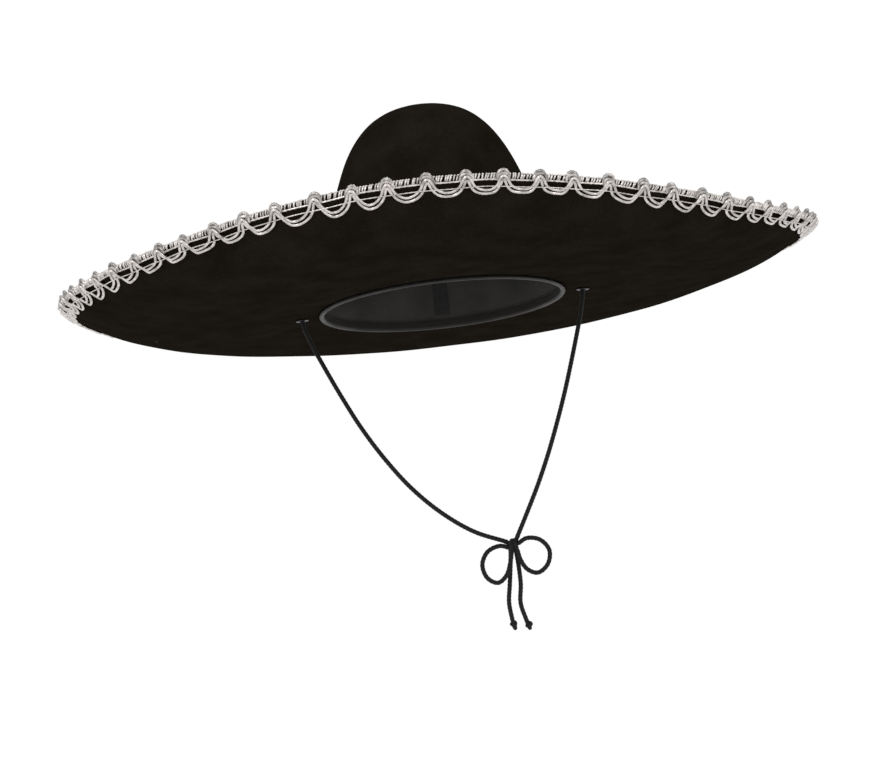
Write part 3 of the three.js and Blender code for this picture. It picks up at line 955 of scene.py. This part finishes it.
def make_picots():
    """At each crest, a hump of knotted cord: arches stacked over the edge."""
    shape = Shape()
    a = np.linspace(0, math.pi, 22)
    rise = np.sin(a) ** 0.7
    for k in range(RIM_SCALLOPS):
        lean = 0.5 * rng.standard_normal()
        for width, reach, low, high, radius in PICOT_ARCHES:
            grow = 1 + 0.08 * rng.standard_normal()
            angle = rim_angle(float(k)) + (lean * rise - width * grow * np.cos(a)) / RIM_RADIUS
            depth = PICOT_FEET - (PICOT_FEET + reach * grow) * rise
            height = low + (high - low) * rise
            normal, outwards, _ = brim_axes(np.ones_like(a), angle)
            points = (brim_middle(np.ones_like(a), angle) - outwards * depth[:, None]
                      + normal * height[:, None])
            tube(shape, points, unit(outwards - 0.6 * normal), radius, 10, ridges=(3, 1.4, 0.22))
    finish_piece(shape.build("rim_picots", KNOTTED_SILVER), "silver_braid", "picot_edge")


def make_crest_bindings():
    """Turns of foil that draw the cords together under each picot."""
    shape = Shape()
    t = TAU * np.arange(16) / 16
    width, stand, height = 1.9, 1.9, 1.0
    for k in range(RIM_SCALLOPS):
        for depth in (0.3, 1.2):
            angle = rim_angle(float(k)) + width * np.cos(t) / RIM_RADIUS
            off = stand + height * np.sin(t)
            points, normals = under_rim(np.full_like(t, depth), angle, off)
            tube(shape, points, normals, 0.42, 6, closed=True)
    finish_piece(shape.build("rim_crest_bindings", KNOTTED_SILVER), "silver_braid")


CROWN_BRAID_FOOT = 9.0  # the height that its scallops' depths are measured up from
RIBBON_STAND = 1.35  # how far the ribbon's face stands off the crown


def make_crown_braid():
    """The same braid round the crown's foot, its scallops upwards, on the ribbon."""
    shape = Shape()

    def wall(height, turns, off):
        angle = TAU * turns / CROWN_SCALLOPS
        return on_wall(CROWN_BRAID_FOOT + height, angle, RIBBON_STAND + off)

    for depth, turns in cord_pair(CROWN_SCALLOPS):
        points, normals = wall(depth, turns, gimp_stand(depth))
        tube(shape, points, normals, GIMP_RADIUS, 10, closed=True, ridges=GIMP_RIDGES)
    turns = np.arange(1200) / 1200 * CROWN_SCALLOPS
    for depth, radius, off in ((1.7, 0.62, 1.0), (5.8, 0.4, 2.0), (-2.2, 0.62, 0.62)):
        points, normals = wall(np.full_like(turns, depth), turns, np.full_like(turns, off))
        tube(shape, points, normals, radius, 8, closed=True, ridges=THREAD_RIDGES)
    around = TAU * CROWN_HALF_WIDTH * (1 + OVAL) / 2
    count = round(around / LADDER_PITCH)
    rise = np.linspace(-2.4, 1.8, 6)
    arch = CROWN_WRAP_RADIUS * (0.6 + 0.9 * np.sin(np.linspace(0, np.pi, 6)))
    for k in range(count):
        slant = WRAP_SLANT + 0.4 * rng.standard_normal()
        lean = slant * np.linspace(-0.5, 0.5, 6) / around
        at = (k / count + lean) * CROWN_SCALLOPS
        points, normals = wall(rise, at, arch)
        tube(shape, points, normals, CROWN_WRAP_RADIUS, 7)
    finish_piece(shape.build("crown_scroll_braid", SILVER), "silver_braid", "crown_braid")


# ---- Sweatband ----
def thick_line(points, thickness):
    """A closed profile of even thickness along a line of (radius, height) points."""
    p = np.array(points, float)
    forward = unit(np.gradient(p, axis=0))
    side = np.stack([forward[:, 1], -forward[:, 0]], -1) * thickness / 2
    return np.concatenate([p + side, (p - side)[::-1]])


def make_sweatband():
    """A leatherette strip whose lower edge folds round a reed and up behind."""
    inset, fold_radius = 5.6, 1.35
    face = [(wall_radius(inset, h), h) for h in np.linspace(32, -2.6, 24)]
    reed = (wall_radius(inset, 0) + fold_radius, -3.4)
    fold = [(reed[0] + fold_radius * math.cos(a), reed[1] + fold_radius * math.sin(a))
            for a in np.radians(np.linspace(180, 350, 10))]
    shape = revolve(Shape(), thick_line(face + fold, 0.8)[::-1], 288, oval)
    finish_piece(shape.build("sweatband_strip", LEATHERETTE), "sweatband", "sweatband")
    angle = TAU * np.arange(288) / 288
    path = oval(reed[0], angle, reed[1])
    cord = tube(Shape(), path, np.tile([0.0, 0, 1], (288, 1)), 0.8, 8, closed=True)
    finish_piece(cord.build("sweatband_reed_rod", REED), "reed", "sweatband_reed")


def make_sweatband_stitches():
    """A row of stitches that joins the sweatband to the crown's foot."""
    shape = Shape()
    count = 184
    share = np.linspace(-0.34, 0.34, 5)
    for k in range(count):
        angle = TAU * (k + share) / count
        bulge = 0.18 * np.cos(np.linspace(-np.pi / 2, np.pi / 2, 5))
        path = oval(wall_radius(6.05, 0) - bulge, angle, 0.4 + 0 * angle)
        tube(shape, path, np.tile([0.0, 0, 1], (5, 1)), 0.22, 6)
    finish_piece(shape.build("sweatband_stitching", LACE), "ribbon")


def make_seam_tape():
    """A short length of ribbon over the sweatband's seam at the back."""
    shape = Shape()
    across = np.linspace(-6, 6, 25)
    heights = np.linspace(4, 28, 25)
    front, back = [], []
    for h in heights:
        angle = math.pi / 2 - across / (OVAL * 80)
        front.append(oval(wall_radius(6.75, h) - 0.05 * np.cos(across * 9), angle, h + 0 * angle))
        back.append(oval(wall_radius(6.3, h), angle, h + 0 * angle))
    rings = np.concatenate([np.array(front), np.array(back)[:, ::-1]], axis=1)
    shape.grid(rings, False, capped=True)
    finish_piece(shape.build("sweatband_tape", RIBBON), "ribbon", "sweatband_seam_tape")


make_brim()
make_wire()
make_crown()
make_lining()
make_hat_band()
make_rim_scallops()
make_rim_threads()
make_edge_ladder()
make_picots()
make_crest_bindings()
make_crown_braid()
make_sweatband()
make_sweatband_stitches()
make_seam_tape()


# ---- Studio ----
def area_light(name, place, aim, size, power):
    """A soft round light, aimed at a point."""
    data = bpy.data.lights.new(name, "AREA")
    data.shape, data.size, data.energy = "DISK", size, power
    light = bpy.data.objects.new(name, data)
    light.location = place
    light.rotation_mode = "QUATERNION"
    light.rotation_quaternion = (Vector(aim) - Vector(place)).to_track_quat("-Z", "Y")
    bpy.context.scene.collection.objects.link(light)


# Each light's place, aim, width and power, in metres and watts
LIGHTS = {
    "key": ((-1.5, -2.4, 0.7), (0, 0, 0), 0.8, 13),
    "fill": ((2.0, -2.2, 0.1), (0, 0, 0), 0.8, 6),
    "back": ((0.4, 2.2, 1.8), (0, 0, 0.05), 1.0, 6),
}
FLOOR_HEIGHT = -0.62


def make_studio():
    """A pale floor, a white surround and three soft lights."""
    bpy.ops.mesh.primitive_plane_add(size=12, location=(0, 0, FLOOR_HEIGHT))
    floor = bpy.context.object
    floor.name = "studio_floor"
    paint = material("pale_floor")
    n = Nodes(paint)
    n.drive("Base Color", n.noise(3, 2, 0.5), (0.3, 0.83), (0.7, 0.86))
    n.set(Roughness=0.9)
    floor.data.materials.append(paint)
    world = bpy.data.worlds.new("studio")
    world.use_nodes = True
    backdrop = world.node_tree.nodes["Background"]
    backdrop.inputs["Color"].default_value = (1, 1, 1, 1)
    backdrop.inputs["Strength"].default_value = 1.0
    bpy.context.scene.world = world
    for name, light in LIGHTS.items():
        area_light(name, *light)
    bpy.context.scene.view_settings.view_transform = "Standard"


make_studio()
